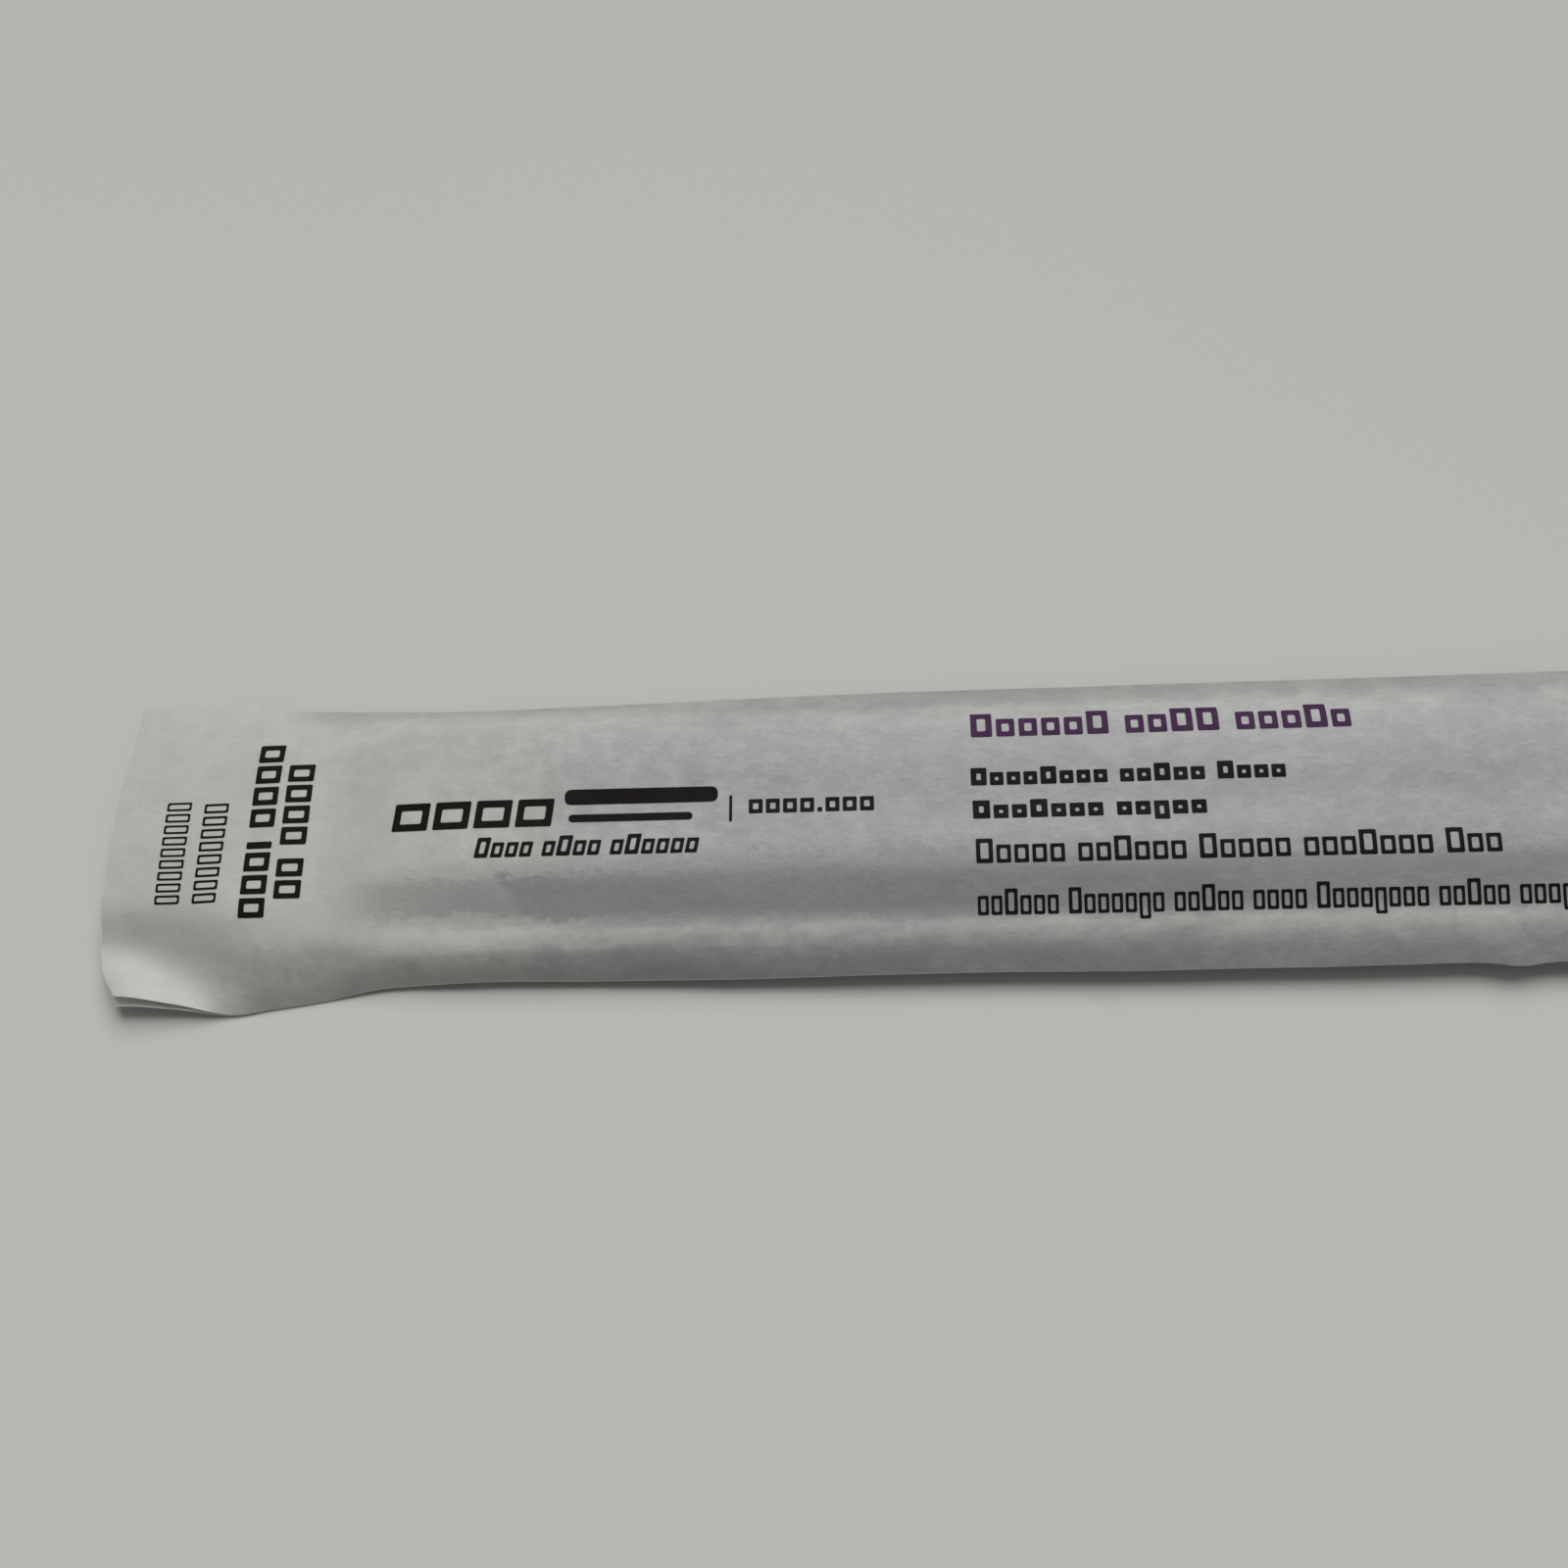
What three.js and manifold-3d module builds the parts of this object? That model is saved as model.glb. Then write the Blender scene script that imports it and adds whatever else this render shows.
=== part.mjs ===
// Sealed peel pouch that holds one cell scraper, lying on its film side.
// Millimetres, +Z up. +X runs from the peel tab to the far end, +Y across the pouch.
// The two webs are heat-sealed into one body around the scraper. At the peel end they
// part into two loose leaves. The origin is the centre of the footprint, at the table.

import Module from 'manifold-3d';
import * as THREE from 'three';
import { mergeVertices } from 'three/addons/utils/BufferGeometryUtils.js';

// Along the pouch
const TAB_LENGTH = 21; // loose leaves, from the cut edge to the peel seal
const PEEL_SEAL = 12;
const HANDLE_CLEARANCE = 27; // empty pouch between the peel seal and the handle's end
const SCRAPER_LENGTH = 250;
const HEAD_LENGTH = 24; // blade head at the scraper's far end
const HEAD_CLEARANCE = 8; // empty pouch between the blade head and the end seal
const END_SEAL = 12;
const PAPER_CUT_BACK = 0.45; // the paper leaf is shorter than the film leaf
const CORNER_RETREAT = 3.5; // the flared near corner draws back from the cut edge
const FAR_RETREAT = 0.7; // so does the far corner, but less

// Across the pouch
const WEB_WIDTH = 50; // both webs, as slit
const DRAW_IN = 5.9; // how much narrower the webs stand once the scraper fills them
const SIDE_SEAL_RUN = 7.6; // near side seal, seen from above
const FAR_SEAL_RUN = 6.2; // far side seal, which stands steeper
const FILM_MARGIN = 1.2; // the film leaf stands out past the curled paper at the near corner
const HANDLE_AXIS = -9.6; // the handle lies towards the near side
const HANDLE_WIDTH = 8;
const FILM_SLACK = 10; // film that lies flat on the table beside the handle
const HEAD_WIDTH = 18;

// Heights and thicknesses
const PAPER = 0.14;
const FILM = 0.12;
const HANDLE_HEIGHT = 8.7; // outside of the webs over the handle
const HEAD_HEIGHT = 9.2;
const SLACK_DIP = 0.7; // how far the slack paper sinks beside the handle
const NEAR_LIFT = 3.1; // near side seal stands off the table beside the handle
const FAR_LIFT = 2.6; // and so does the far one
const NEAR_SEAL_HEIGHT = 6; // inner line of the near side seal
const TAB_ARCH = 5.8; // crown of the peel seal and the loose leaves
const SEAL_DROP = 0.9; // far seal's inner line, below the handle's crest
const CORNER_GAP = 1.7; // gap between the leaves at the flared near corner
const LEAF_GAP = 0.5; // gap between the leaves elsewhere along the cut edge
const ROOT_GAP = 0.06; // gap at the root of the leaves, beside the peel seal

// Facets between neighbouring lines of the loft
const COLUMN_STEPS = [3, 4, 6, 5, 4, 5, 4];
const ROW_STEPS = { tab: 12, peelSeal: 6, opening: 13, handle: 14, head: 11, closing: 7, endSeal: 4 };

// Stations along the pouch
const SEAL_START = TAB_LENGTH;
const CAVITY_START = SEAL_START + PEEL_SEAL;
const HANDLE_END = CAVITY_START + HANDLE_CLEARANCE;
const HEAD_END = HANDLE_END + SCRAPER_LENGTH;
const HEAD_START = HEAD_END - HEAD_LENGTH;
const HEAD_FULL = HEAD_START + HEAD_LENGTH * 0.4;
const CAVITY_END = HEAD_END + HEAD_CLEARANCE;
const LENGTH = CAVITY_END + END_SEAL;

const mix = THREE.MathUtils.lerp;

// Sections of the paper's upper face. Each has a point on the same eight lines of the
// pouch: near edge, middle and inner line of the near seal, handle crest, slack, far
// swell, inner line of the far seal and far edge. `soft` is how gently each line bends.
const FLAT = WEB_WIDTH / 2;
const HALF = FLAT - DRAW_IN / 2;
const CREST = HANDLE_AXIS + HANDLE_WIDTH / 2;
const NEAR_SEAL = -HALF + SIDE_SEAL_RUN;
const FAR_SEAL = HALF - FAR_SEAL_RUN;
const SOFT_TAB = [1, 1.2, 1, 1.1, 2.2, 2.4, 2.5, 1];
const SOFT_LEAF = [1, 1.5, 1.6, 1.8, 2.2, 2.4, 2.5, 1];
const SOFT_BODY = [1, 1.2, 0.4, 1.8, 2.2, 2.2, 0.7, 1];

const bodyPoints = (height, crest, dip) => [
  [-HALF, NEAR_LIFT],
  [mix(-HALF, NEAR_SEAL, 0.57), NEAR_SEAL_HEIGHT - 0.05],
  [NEAR_SEAL, NEAR_SEAL_HEIGHT],
  [crest, height],
  [crest + 8, height - dip],
  [FAR_SEAL - 6, height - 0.1],
  [FAR_SEAL, height - SEAL_DROP],
  [HALF, FAR_LIFT],
];

const SECTIONS = [
  {
    x: 0,
    soft: SOFT_TAB,
    points: [[-FLAT + 1.9, 4.4], [-FLAT + 6.2, 4.1], [-FLAT + 10, 2.9], [-FLAT + 14.8, TAB_ARCH - 0.4],
      [1, TAB_ARCH - 0.4], [8, TAB_ARCH - 0.7], [FLAT - 12, TAB_ARCH - 1.4], [FLAT - 0.4, 2.4]],
  },
  {
    x: TAB_LENGTH / 2,
    soft: SOFT_TAB,
    points: [[-FLAT + 0.9, 3], [-FLAT + 4.2, 2.7], [-FLAT + 7.4, 2], [-FLAT + 14.6, TAB_ARCH - 0.4],
      [1, TAB_ARCH - 0.4], [8, TAB_ARCH - 0.6], [FLAT - 12, TAB_ARCH - 1.1], [FLAT - 0.9, 2.7]],
  },
  {
    x: SEAL_START,
    soft: SOFT_TAB,
    points: [[-FLAT - 0.4, 0.9], [-FLAT + 2, 1.2], [-FLAT + 5, 2.7], [-FLAT + 13, TAB_ARCH + 0.8],
      [1, TAB_ARCH], [9, TAB_ARCH - 0.2], [FLAT - 11, TAB_ARCH - 0.6], [FLAT - 1.4, 3]],
  },
  {
    x: SEAL_START + PEEL_SEAL * 0.45,
    soft: SOFT_LEAF,
    points: [[-FLAT + 0.4, 0.8], [-FLAT + 3.4, 2.8], [-FLAT + 7.6, 5.3], [-10, 6.6],
      [1.8, 5.9], [9.2, 5.9], [FLAT - 10.5, 5.3], [FLAT - 1.9, 2.6]],
  },
  {
    x: CAVITY_START,
    soft: SOFT_LEAF,
    points: [[-FLAT + 1.3, 0.8], [-FLAT + 4.3, 2.9], [-FLAT + 8.3, 5.5], [-8, 6.5], [2.5, 5.9],
      [9.5, 6], [FLAT - 10, 5.4], [FLAT - 2.3, 2.2]],
  },
  {
    x: CAVITY_START + HANDLE_CLEARANCE * 0.45,
    soft: SOFT_BODY,
    points: [[-HALF - 0.1, 2.2], [-HALF + 4.2, 5.3], [NEAR_SEAL, 5.5], [CREST, 7.8], [CREST + 8, 7.3],
      [FAR_SEAL - 6, 7.8], [FAR_SEAL, 7.1], [HALF + 0.3, 2.2]],
  },
  { x: HANDLE_END, soft: SOFT_BODY, points: bodyPoints(HANDLE_HEIGHT, CREST, SLACK_DIP) },
  { x: HEAD_START, soft: SOFT_BODY, points: bodyPoints(HANDLE_HEIGHT, CREST, SLACK_DIP) },
  {
    x: HEAD_FULL,
    soft: SOFT_BODY,
    points: bodyPoints(HEAD_HEIGHT, HANDLE_AXIS + HEAD_WIDTH / 2, SLACK_DIP / 2),
  },
  {
    x: HEAD_END,
    soft: SOFT_BODY,
    points: bodyPoints(HEAD_HEIGHT, HANDLE_AXIS + HEAD_WIDTH / 2, SLACK_DIP / 2),
  },
  {
    x: CAVITY_END,
    soft: SOFT_LEAF,
    points: [[-FLAT + 1.2, 0.7], [-FLAT + 5, 1.9], [-FLAT + 9, 2.9], [-6, 4.2], [2, 4.2],
      [9.5, 4], [FLAT - 10, 3.1], [FLAT - 1.2, 0.7]],
  },
  {
    x: LENGTH,
    soft: SOFT_LEAF,
    points: [[-FLAT + 0.5, 0.4], [-FLAT + 4.5, 1], [-FLAT + 8.5, 1.6], [-6, 2.6], [2, 2.7],
      [9.5, 2.4], [FLAT - 10, 1.7], [FLAT - 0.5, 0.4]],
  },
];

// A smooth curve through the sections' values of one kind, which never overshoots them.
function alongPouch(x, valueOf) {
  const rise = (k) => {
    const [a, b] = [SECTIONS[k], SECTIONS[k + 1]];
    return a && b ? (valueOf(b) - valueOf(a)) / (b.x - a.x) : 0;
  };
  const tangent = (k) => {
    const [before, after] = [rise(k - 1), rise(k)];
    return before * after > 0 ? (2 * before * after) / (before + after) : 0;
  };
  const next = SECTIONS.findIndex((s) => s.x > x);
  const k = next < 0 ? SECTIONS.length - 2 : Math.max(next - 1, 0);
  const [a, b] = [SECTIONS[k], SECTIONS[k + 1]];
  const span = b.x - a.x;
  const f = THREE.MathUtils.clamp((x - a.x) / span, 0, 1);
  const eased = f * f * (3 - 2 * f);
  const bow = f * (1 - f) * ((1 - f) * tangent(k) - f * tangent(k + 1)) * span;
  return mix(valueOf(a), valueOf(b), eased) + bow;
}

// The section at any place along the pouch.
const sectionAt = (x) => ({
  soft: SOFT_BODY.map((_, i) => alongPouch(x, (s) => s.soft[i])),
  points: SOFT_BODY.map((_, i) => [0, 1].map((axis) => alongPouch(x, (s) => s.points[i][axis]))),
});

const slope = ([y0, z0], [y1, z1]) => (z1 - z0) / (y1 - y0);
const bend = (y, soft) => (y > 20 * soft ? y : soft * Math.log1p(Math.exp(y / soft)));

// Height at y of a polyline whose inner corners are rounded.
function heightOn(points, soft, y) {
  const [y0, z0] = points[0];
  let z = z0 + slope(points[0], points[1]) * (y - y0);
  for (let i = 1; i < points.length - 1; i++) {
    const turn = slope(points[i], points[i + 1]) - slope(points[i - 1], points[i]);
    z += turn * (bend(y - points[i][0], soft[i]) - bend(y0 - points[i][0], soft[i]));
  }
  return z;
}

// A column is a place across the pouch, counted in lines: 2.5 is midway from line 2 to 3.
function acrossAt(points, column) {
  const k = THREE.MathUtils.clamp(Math.floor(column), 0, points.length - 2);
  return mix(points[k][0], points[k + 1][0], column - k);
}

// Gap between the loose leaves, widest at the flared near corner.
function leafGap(x, column) {
  const towardsTip = 1 - THREE.MathUtils.clamp(x / TAB_LENGTH, 0, 1);
  const towardsCorner = THREE.MathUtils.clamp(1 - column / 3, 0, 1);
  return mix(ROOT_GAP, mix(LEAF_GAP, CORNER_GAP, towardsCorner), towardsTip);
}

// A point on the webs, at a depth below the paper's upper face. In the tab the rows close
// up towards the peel seal, so that each leaf ends at its own cut edge.
function onWebs(x, column, depth, cutBack = 0) {
  const { points, soft } = sectionAt(x);
  const y = acrossAt(points, column);
  const nearCorner = THREE.MathUtils.clamp(1 - column / 2, 0, 1) ** 2;
  const farCorner = THREE.MathUtils.clamp((column - 5) / 2, 0, 1);
  const start = cutBack + CORNER_RETREAT * nearCorner + FAR_RETREAT * farCorner;
  const trimmed = x < TAB_LENGTH ? mix(start, TAB_LENGTH, x / TAB_LENGTH) : x;
  return new THREE.Vector3(trimmed, y, heightOn(points, soft, y) - depth);
}

// The same on the film, which stands out past the paper along the near edge of the leaves.
function onFilm(x, column, depth) {
  const point = onWebs(x, column, depth);
  const towardsEdge = THREE.MathUtils.clamp(1 - column, 0, 1);
  point.y -= FILM_MARGIN * towardsEdge * THREE.MathUtils.clamp(1 - x / TAB_LENGTH, 0, 1);
  return point;
}

const paperTop = (x, column) => onWebs(x, column, 0, PAPER_CUT_BACK);
const paperUnder = (x, column) => onWebs(x, column, PAPER, PAPER_CUT_BACK);
const filmTop = (x, column) => onFilm(x, column, PAPER + leafGap(x, column));

// Film side of the cavity: down from the near seal on line 2, flat on the table along
// lines 3 to 5 under the handle and the slack, and up to the far seal on line 6.
const [FIRST_LINE, LAST_LINE] = [2, 6];
const HANDLE_EDGE = HANDLE_AXIS + HANDLE_WIDTH / 2;
const TABLE_LINES = { 3: HANDLE_EDGE - HANDLE_WIDTH, 4: HANDLE_EDGE, 5: HANDLE_EDGE + FILM_SLACK };

function filmLine(x, line) {
  return line in TABLE_LINES
    ? new THREE.Vector3(x, TABLE_LINES[line], 0)
    : onWebs(x, line, PAPER + FILM);
}

function filmUnder(x, column) {
  const gap = x < TAB_LENGTH ? leafGap(x, column) : 0;
  const sealed = onFilm(x, column, PAPER + gap + FILM);
  if (column < FIRST_LINE || column >= LAST_LINE) return sealed;
  const opened = THREE.MathUtils.smoothstep(x, CAVITY_START, HANDLE_END)
    * (1 - THREE.MathUtils.smoothstep(x, HEAD_END, CAVITY_END));
  const line = Math.floor(column);
  return sealed.lerp(filmLine(x, line).lerp(filmLine(x, line + 1), column - line), opened);
}

// A closed slab lofted over rows and columns between an upper and a lower face.
function slab(rows, columns, upper, lower) {
  const [nx, ny] = [rows.length - 1, columns.length - 1];
  const box = new THREE.BoxGeometry(1, 1, 1, nx, ny, 1);
  box.deleteAttribute('normal');
  box.deleteAttribute('uv');
  const place = box.getAttribute('position');
  for (let i = 0; i < place.count; i++) {
    const row = rows[Math.round((place.getX(i) + 0.5) * nx)];
    const column = columns[Math.round((place.getY(i) + 0.5) * ny)];
    const at = place.getZ(i) > 0 ? upper(row, column) : lower(row, column);
    place.setXYZ(i, at.x, at.y, at.z);
  }
  return mergeVertices(box, 1e-5);
}

// Places from one station to the next in equal steps, without the last.
const steps = (from, to, count) =>
  Array.from({ length: count }, (_, i) => mix(from, to, i / count));

const tabRows = steps(0, SEAL_START, ROW_STEPS.tab);
const rows = [
  ...tabRows,
  ...steps(SEAL_START, CAVITY_START, ROW_STEPS.peelSeal),
  ...steps(CAVITY_START, HANDLE_END, ROW_STEPS.opening),
  ...steps(HANDLE_END, HEAD_START, ROW_STEPS.handle),
  ...steps(HEAD_START, HEAD_END, ROW_STEPS.head),
  ...steps(HEAD_END, CAVITY_END, ROW_STEPS.closing),
  ...steps(CAVITY_END, LENGTH, ROW_STEPS.endSeal),
  LENGTH,
];
const columns = [
  ...COLUMN_STEPS.flatMap((count, line) => steps(line, line + 1, count)),
  COLUMN_STEPS.length,
];

const wasm = await Module();
wasm.setup();

function toSolid(geometry) {
  return new wasm.Manifold(new wasm.Mesh({
    numProp: 3,
    vertProperties: new Float32Array(geometry.getAttribute('position').array),
    triVerts: new Uint32Array(geometry.index.array),
  }));
}

function toGeometry(solid) {
  const { vertProperties, triVerts } = solid.getMesh();
  const geometry = new THREE.BufferGeometry();
  geometry.setAttribute('position', new THREE.BufferAttribute(vertProperties, 3));
  geometry.setIndex(new THREE.BufferAttribute(triVerts, 1));
  geometry.computeVertexNormals();
  return geometry;
}

// The webs as one piece, less the space between the leaves, which is run out past the cut
// edge and both sides.
const OVERRUN = 1;
const closed = slab(rows, columns, paperTop, filmUnder);
const between = slab(
  [-OVERRUN, ...tabRows, TAB_LENGTH],
  [-OVERRUN / 2, ...columns, columns.at(-1) + OVERRUN / 2],
  paperUnder,
  filmTop,
);
const pouch = toGeometry(toSolid(closed).subtract(toSolid(between)));

// Centre the footprint on the origin.
pouch.computeBoundingBox();
const middle = pouch.boundingBox.getCenter(new THREE.Vector3());
pouch.translate(-middle.x, -middle.y, -pouch.boundingBox.min.z);

const paper = new THREE.MeshStandardMaterial({ color: 0xb4b4af, roughness: 0.6, metalness: 0 });
const sealedPouch = new THREE.Mesh(pouch, paper);
sealedPouch.name = 'sealed_pouch';

const group = new THREE.Group();
group.add(sealedPouch);

export default group;
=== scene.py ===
"""Finish of a sealed peel pouch: paper web, film web and print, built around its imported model.

Shapes are worked out in millimetres, in the pouch's own coordinates: x from the peel tab's
cut edge towards the far end, y across the pouch from its centreline, z up from the table.
"""

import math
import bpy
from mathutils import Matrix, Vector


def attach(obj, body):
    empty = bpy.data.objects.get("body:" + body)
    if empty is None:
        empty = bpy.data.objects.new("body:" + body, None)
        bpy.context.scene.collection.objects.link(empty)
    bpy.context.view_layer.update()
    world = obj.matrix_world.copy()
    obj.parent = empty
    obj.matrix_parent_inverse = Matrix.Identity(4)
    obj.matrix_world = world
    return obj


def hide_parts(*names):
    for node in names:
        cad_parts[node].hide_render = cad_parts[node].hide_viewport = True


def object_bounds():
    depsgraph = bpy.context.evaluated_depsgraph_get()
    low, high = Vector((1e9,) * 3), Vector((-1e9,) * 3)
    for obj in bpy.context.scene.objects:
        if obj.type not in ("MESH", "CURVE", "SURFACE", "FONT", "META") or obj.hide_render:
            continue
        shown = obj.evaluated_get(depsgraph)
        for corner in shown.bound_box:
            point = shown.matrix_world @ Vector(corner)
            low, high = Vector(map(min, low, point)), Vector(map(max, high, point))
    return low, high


bl_info = {
    "name": "Sealed Peel Pouch",
    "version": (1, 0, 0),
    "blender": (4, 5, 0),
    "location": "View3D > Sidebar > Peel Pouch",
    "description": "Builds the paper web, the film web and the print of a sealed peel pouch",
    "category": "Object",
}

import bmesh
import bpy
import numpy as np
from bpy.props import FloatProperty, FloatVectorProperty, PointerProperty
from mathutils import Vector, noise
from mathutils.bvhtree import BVHTree

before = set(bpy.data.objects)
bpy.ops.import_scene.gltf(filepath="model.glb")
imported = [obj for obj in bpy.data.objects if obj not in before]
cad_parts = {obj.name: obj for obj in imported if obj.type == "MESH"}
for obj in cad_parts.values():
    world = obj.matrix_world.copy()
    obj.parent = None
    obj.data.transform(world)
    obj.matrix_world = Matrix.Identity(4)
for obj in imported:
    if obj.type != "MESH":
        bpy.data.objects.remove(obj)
CAD_LOW, CAD_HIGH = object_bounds()

MM = 0.001
POUCH_NODE = "sealed_pouch"
BODY = "root"


# ---------------------------- properties


def length(name, description, millimetres):
    """A length that a user may change, given in millimetres and kept in metres."""
    return FloatProperty(
        name=name,
        description=description,
        default=millimetres * MM,
        min=0,
        precision=5,
        subtype="DISTANCE",
        unit="LENGTH",
    )


def linear(red, green, blue):
    """Scene-linear values of a colour given in sRGB, 0 to 255."""
    values = [channel / 255 for channel in (red, green, blue)]
    return [v / 12.92 if v <= 0.04045 else ((v + 0.055) / 1.055) ** 2.4 for v in values]


def colour(name, description, red, green, blue):
    """A colour that a user may change, given in sRGB, 0 to 255."""
    return FloatVectorProperty(
        name=name,
        description=description,
        default=linear(red, green, blue),
        min=0,
        max=1,
        size=3,
        subtype="COLOR",
    )


class PouchSizes(bpy.types.PropertyGroup):
    """Sizes of the pouch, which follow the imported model."""

    web_width: length("Web width", "Both webs, as slit", 50)
    draw_in: length("Draw-in", "How much narrower the filled pouch is than its webs", 5.9)
    tab_length: length("Tab length", "Loose leaves, from the cut edge to the peel seal", 21)
    peel_seal: length("Peel seal", "Seal band across the peel end", 12)
    handle_clearance: length("Handle clearance", "Peel seal to the handle's end", 27)
    head_length: length("Head length", "Blade head at the far end of the scraper", 24)
    head_clearance: length("Head clearance", "Blade head to the end seal", 8)
    end_seal: length("End seal", "Seal band across the far end", 12)
    near_seal_run: length("Near seal", "Near side seal, seen from above", 7.6)
    far_seal_run: length("Far seal", "Far side seal, seen from above", 6.2)
    handle_width: length("Handle width", "Width of the handle's relief", 8)
    head_width: length("Head width", "Width of the blade head", 18)
    paper: length("Paper", "Thickness of the paper web", 0.14)
    film: length("Film", "Thickness of the film web", 0.12)


class PouchLook(bpy.types.PropertyGroup):
    """Colours of the webs, the print and the table, and the levels of light."""

    # These two tones are painted light and shade: the thin paper is drawn darker over the dark
    # hollow of the filled pouch and paler where film and table lie close behind it in the tab. The
    # paler one also gives painted highlights along both seal ridges and on the curled near slope.
    paper_colour: colour("Paper", "Paper web where it stands free", 144, 145, 144)
    painted_light_colour: colour("Loose paper", "Paper web in the loose leaves", 174, 174, 167)
    # Darker paper over the far side seal: partly the seal's own tone, partly painted shade on the
    # far slope.
    seal_and_shade_colour: colour("Sealed paper", "Paper web bonded to the film", 128, 127, 122)
    # Grey paper along the handle: partly paper lying on the plastic, partly painted shade on the
    # slope in front of the handle's crest.
    shade_colour: colour(
        "Paper on plastic", "Paper web where it lies on the handle", 131, 133, 132)
    film_colour: colour("Film", "Milky film web", 200, 198, 192)
    ink_colour: colour("Dark ink", "Plain lines of print", 18, 14, 11)
    title_colour: colour("Violet ink", "Title line", 60, 33, 64)
    floor_colour: colour("Floor", "Table under the pouch", 182, 182, 178)
    lamp_power: FloatProperty(
        name="Lamp", description="Power of the soft lamp", default=400, min=0, unit="POWER")
    fill: FloatProperty(
        name="Fill", description="Strength of the plain surroundings", default=0.25, min=0,
        subtype="FACTOR")


# ---------------------------- shape of the webs

# A run of two numbers is given from and to, as seen from the place that it is used at.

# Every section crosses the same eight lines, counted from 0: near edge, middle and inner line
# of the near seal, handle crest, slack, far swell, inner line of the far seal and far edge.
LINES = 8
NEAR_SEAM = 2
CREST = 3
FAR_SWELL = 5
FAR_SEAM = 6
FAR_EDGE = 7

# The filled pouch: the paper lies on the handle, sags a little past it, swells towards the
# far seal and drops to it. Both side edges stand off the table.
HANDLE_AXIS = -9.6
HANDLE_HEIGHT = 8.7
HEAD_HEIGHT = 9.2
SLACK_DIP = 0.7
SLACK_RUN = 8
SWELL_DIP = 0.1
SWELL_RUN = 6
SEAL_DROP = 0.9
NEAR_LIFT = 3.1
FAR_LIFT = 2.6
NEAR_SEAL_HEIGHT = 6
NEAR_SEAL_SAG = 0.05
NEAR_SEAL_MIDDLE = 0.57
FILM_SLACK = 10

# The loose leaves of the tab, which part towards the flared near corner.
TAB_ARCH = 5.8
NEAR_REACH = 0.4
CORNER_RETREAT = 3.5
FAR_RETREAT = 0.7
PAPER_CUT_BACK = 0.45
FILM_MARGIN = 1.2
CORNER_GAP = 1.7
LEAF_GAP = 0.5
ROOT_GAP = 0.06

# Sections between the main stations, as shares of their runs along the pouch.
SEAL_SECTION = 0.45
OPENING_SECTION = 0.45
HEAD_SECTION = 0.4

# How softly each section turns at each of the lines.
SOFT_TAB = (1, 1.2, 1, 1.1, 2.2, 2.4, 2.5, 1)
SOFT_LEAF = (1, 1.5, 1.6, 1.8, 2.2, 2.4, 2.5, 1)
SOFT_BODY = (1, 1.2, 0.4, 1.8, 2.2, 2.2, 0.7, 1)

# Ripples: how far they reach either way, their length along the pouch, their width across
# it, and the layer of noise that they read.
SWELL = (0.2, 34, 13, 0.3)
COCKLE = (0.05, 9, 4.5, 4.7)
SEAL_RIPPLE = (0.12, 8, 30, 9.1)
SEAL_RIPPLE_RUN = 6
NEAR_EDGE_RIPPLE = (0.25, 24, 1, 2.2)
FAR_EDGE_RIPPLE = (0.2, 30, 1, 7.7)
FILM_RIPPLE = (0.7, 24, 6, 5.5)
WRINKLE_RIPPLES = ((1, 4, 2.5, 6.4), (0.6, 1.6, 1.1, 8.2))
BEAD_RIPPLES = ((1.5, 3.2, 1.6, 3.3), (0.6, 1.3, 0.8, 1.9))

# Beads along the inner lines of both side seals. The near one lies before its line, and
# strays from it.
NEAR_BEAD_HEIGHT = 0.14
NEAR_BEAD_BEFORE = 0.9
NEAR_BEAD_REACH = 1.3
NEAR_BEAD_STRAY = 0.5
FAR_BEAD_HEIGHT = 0.16
FAR_BEAD_PAST = 0.4
FAR_BEAD_REACH = 1.2
BEAD_LEAD_IN = 4
BEAD_LEAD_OUT = 5

# The wrinkle that slants over the handle's end, and the crease along it, which fades at the
# near seal and past the handle's crest.
WRINKLE_SLANT = 0.74
WRINKLE_CROSSING = 5
CREASE_DEPTH = 0.07
CREASE_REACH = 1.1
CREASE_NEAR_RUN = (0, 2)
CREASE_CREST_RUN = (-1, 3)

# The near edge's rim: it sags at the handle's end and rises from there on, curls down past
# the handle's end, lies low along the peel seal and dips just past it.
RIM_SAG = 0.5
RIM_RISE = 0.8
RIM_RISE_RUN = (-10, 170)
CURL_DEPTH = 1.0
CURL_PAST = 12
CURL_REACH = 26
LYING_DEPTH = 0.4
LYING_TAB_RUN = (-5, 1)
LYING_STOP = 8
DIP_DEPTH = 0.75
DIP_PAST = 14
DIP_REACH = 9

# Both side edges, seen from above: the one pinch, and how far the edges draw in or out.
PINCH_PLACE = 207
PINCH_DEPTH = 0.7
PINCH_REACH = 3.2
NEAR_DRAW_IN = 0.45
NEAR_DRAW_STOP = 10
TUCK_DEPTH = 0.4
TUCK_PAST = 2
TUCK_REACH = 11
FAR_DRAW_IN = 0.4
FAR_DRAW_OUT = 0.9
FAR_DRAW_RUN = 65

# Where the paper can lie on the handle: the runs over which that fades at both sides, and
# how far the near side moves in before the handle's end.
CONTACT_NEAR_RUN = (-0.7, 3.7)
CONTACT_CREST_RUN = (-4.1, 1.1)
CONTACT_SHIFT = 0.9
CONTACT_SHIFT_RUN = (-6, 14)

# How hard the paper lies there, and so how dark the patch along the handle is drawn: partly
# grey paper on plastic, partly painted shade. This grows past the peel seal, towards the
# handle's end and past the wrinkle, and ends with the blade head.
OPENING_PRESSURE = 0.5
OPENING_RUN = (0, 14)
SLACK_PRESSURE = 0.15
SLACK_START = 13
HANDLE_PRESSURE = 0.35
HANDLE_RUN = (-1.5, 2)
HEAD_RUN = (0, 4)
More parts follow.
